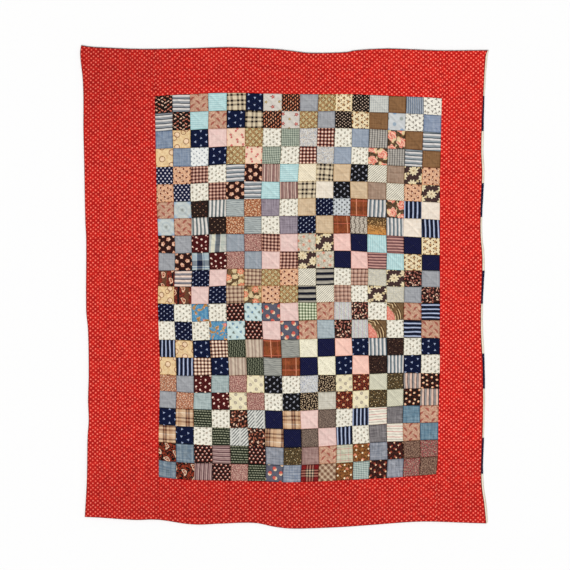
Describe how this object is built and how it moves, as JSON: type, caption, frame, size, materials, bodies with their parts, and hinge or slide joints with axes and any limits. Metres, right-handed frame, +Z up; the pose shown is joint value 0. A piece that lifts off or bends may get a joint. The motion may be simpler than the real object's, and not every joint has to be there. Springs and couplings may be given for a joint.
{
  "type": "patchwork quilt",
  "caption": "Cotton patchwork quilt lying flat face up: a field of small square scrap patches inside a wide red printed border, over a pieced backing with a narrow turned lip.",
  "frame": {"origin": "middle of the quilt's bounding box, on the surface it lies on", "axes": "+X across the quilt, +Y along its length towards the top edge, +Z up out of the pieced face"},
  "size_m": [1.7656, 2.0874, 0.0051],
  "materials": {
    "patchwork_cotton": "matte printed, striped, checked and plain cottons in mixed colours, pieced and hand quilted",
    "border_print": "matte turkey-red cotton with a small all-over print, hand quilted",
    "backing_cotton": "matte plain cotton in cream and navy bars"
  },
  "bodies": {
    "root": {"patchwork_field": "patchwork_cotton", "border_left": "border_print", "border_right": "border_print", "border_top": "border_print", "border_bottom": "border_print", "backing": "backing_cotton"}
  },
  "joints": []
}
